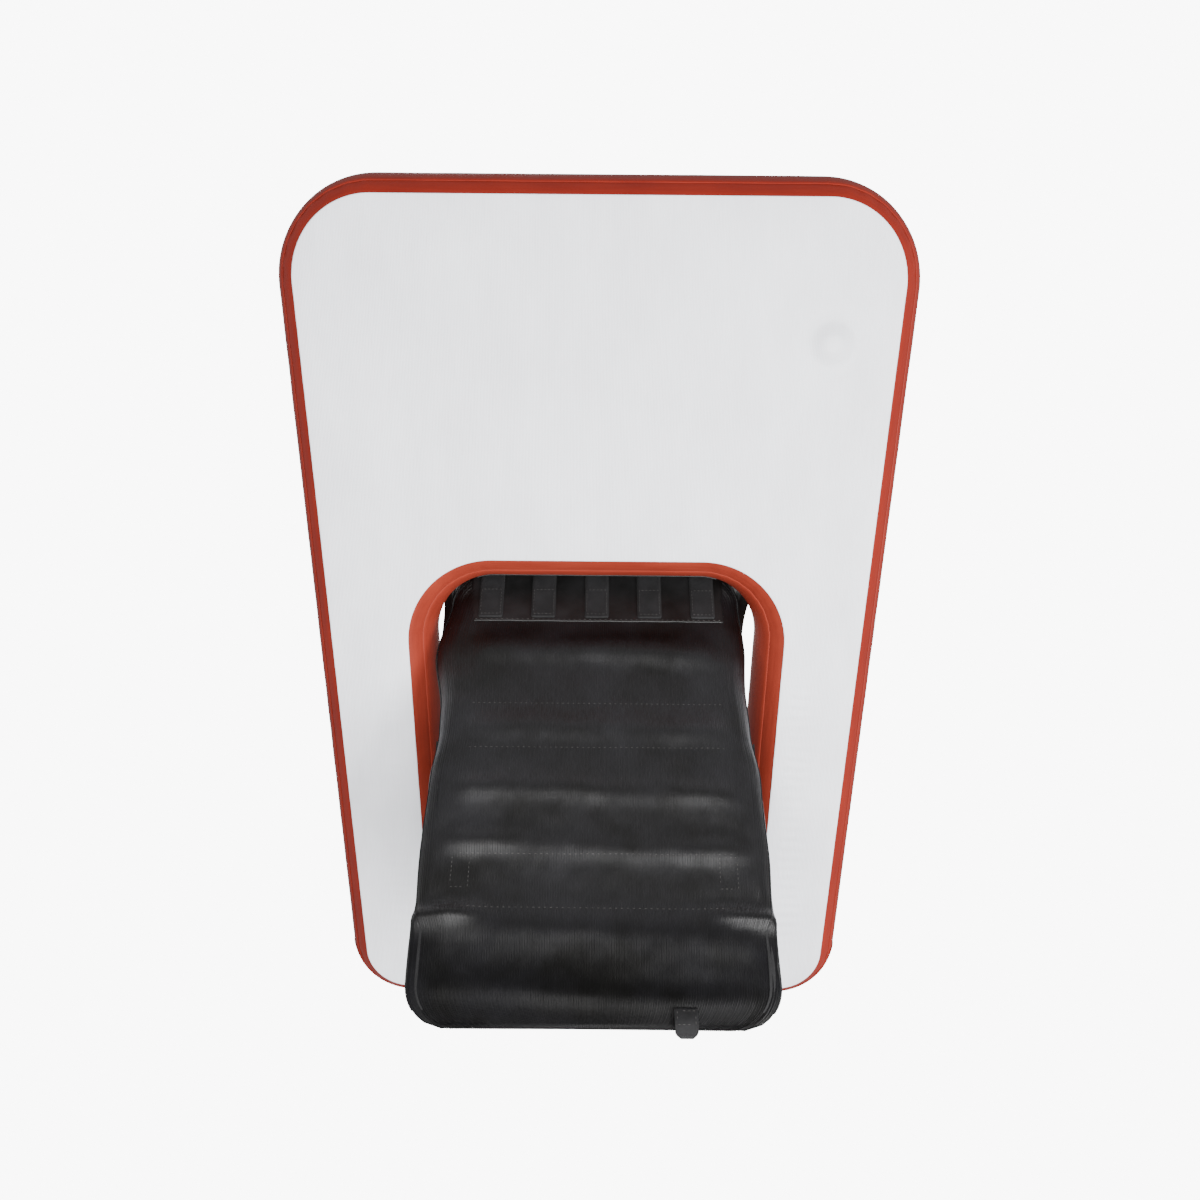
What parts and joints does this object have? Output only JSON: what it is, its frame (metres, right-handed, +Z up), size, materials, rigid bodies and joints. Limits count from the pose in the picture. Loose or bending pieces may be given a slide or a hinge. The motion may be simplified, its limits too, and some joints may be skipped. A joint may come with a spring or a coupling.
{
  "type": "inflatable boarding platform",
  "caption": "Flat inflatable boarding platform with a U-shaped notch and a hinged mesh ramp that slopes down into the water, for dogs and swimmers.",
  "frame": {"origin": "on the flat underside, on the centreline, midway between the boat end's edge and the notch's head", "axes": "+X across to the platform's side without the valve, +Y towards the boat end, +Z up out of the deck"},
  "size_m": [0.9906, 1.4045, 0.6555],
  "materials": {
    "stitch_core": "raw polyester threads",
    "white_pvc": "satin, fine weave print-through",
    "red_pvc": "satin",
    "deck_foam": "matt brushed foam",
    "black_webbing": "woven webbing",
    "black_mesh": "coated mesh, satin",
    "black_pvc": "satin",
    "stainless": "polished",
    "spring_steel": "drawn wire",
    "valve_plastic": "moulded, satin",
    "valve_rubber": "matt",
    "batten_plastic": "moulded",
    "rod_aluminium": "anodised"
  },
  "bodies": {
    "root": {"drop_stitch_core": "stitch_core", "bottom_skin": "white_pvc", "top_skin": "white_pvc", "side_wall": "red_pvc", "notch_wall": "red_pvc", "side_band": "red_pvc", "notch_band": "red_pvc", "leg_end_covers": "red_pvc", "deck_pad": "deck_foam", "ring_patches": "black_pvc", "ring_loops": "black_webbing", "handle_patches": "black_pvc", "handle": "black_webbing", "valve_body": "valve_plastic", "valve_gasket": "valve_rubber", "valve_nut": "valve_plastic", "valve_spring": "spring_steel", "valve_backing": "white_pvc", "hinge_strip": "black_pvc", "fixed_tabs": "black_webbing", "hinge_rod": "rod_aluminium", "hinge_rod_caps": "valve_rubber", "strap_patches": "black_pvc", "limit_strap_left": "black_webbing", "limit_strap_right": "black_webbing"},
    "ramp": {"ramp_tabs": "black_webbing", "ramp_mesh": "black_mesh", "ramp_sleeves": "black_pvc", "ramp_battens": "batten_plastic", "ramp_apron": "black_pvc", "ballast_hem": "black_pvc", "ballast_tube": "stainless", "ballast_caps": "valve_rubber", "pull_loop": "black_webbing"},
    "tether": {"valve_tether": "valve_plastic"},
    "cap": {"valve_cap": "valve_plastic", "valve_cap_seal": "valve_rubber"},
    "spring_seat": {"valve_spring_seat": "valve_plastic"},
    "stem": {"valve_stem": "valve_plastic", "valve_disc": "valve_rubber"},
    "ring_boat_left": {"ring_boat_left": "stainless"},
    "ring_boat_right": {"ring_boat_right": "stainless"},
    "ring_leg_left": {"ring_leg_left": "stainless"},
    "ring_leg_right": {"ring_leg_right": "stainless"}
  },
  "joints": [
    {"name": "ramp_fold", "type": "hinge", "parent": "root", "child": "ramp", "pos_m": [0, -0.3165, 0.122], "axis": [-1, 0, 0], "range_deg": [0, 48.6], "deforming": ["limit_strap_left", "limit_strap_right"]},
    {"name": "tether_swing", "type": "hinge", "parent": "root", "child": "tether", "pos_m": [-0.316, 0.0655, 0.1628], "axis": [0, 1, 0], "range_deg": [0, 165]},
    {"name": "cap_turn", "type": "hinge", "parent": "tether", "child": "cap", "pos_m": [-0.353, 0.0655, 0.1628], "axis": [0, 0, 1], "range_deg": [0, 90]},
    {"name": "valve_push", "type": "slide", "parent": "root", "child": "spring_seat", "axis": [0, 0, -1], "range_m": [0, 0.005], "stiffness_N_per_m": 400, "springref_m": -0.003, "deforming": ["valve_spring"]},
    {"name": "stem_twist", "type": "hinge", "parent": "spring_seat", "child": "stem", "pos_m": [-0.353, 0.0655, 0.14], "axis": [0, 0, 1], "range_deg": [0, 90]},
    {"name": "ring_boat_left_swing", "type": "hinge", "parent": "root", "child": "ring_boat_left", "pos_m": [-0.33, 0.2095, 0.1571], "axis": [1, 0, 0], "range_deg": [0, 170]},
    {"name": "ring_boat_right_swing", "type": "hinge", "parent": "root", "child": "ring_boat_right", "pos_m": [0.33, 0.2095, 0.1571], "axis": [1, 0, 0], "range_deg": [0, 170]},
    {"name": "ring_leg_left_swing", "type": "hinge", "parent": "root", "child": "ring_leg_left", "pos_m": [-0.34785, -0.9205, 0.1571], "axis": [-1, 0, 0], "range_deg": [0, 170]},
    {"name": "ring_leg_right_swing", "type": "hinge", "parent": "root", "child": "ring_leg_right", "pos_m": [0.34785, -0.9205, 0.1571], "axis": [-1, 0, 0], "range_deg": [0, 170]}
  ]
}
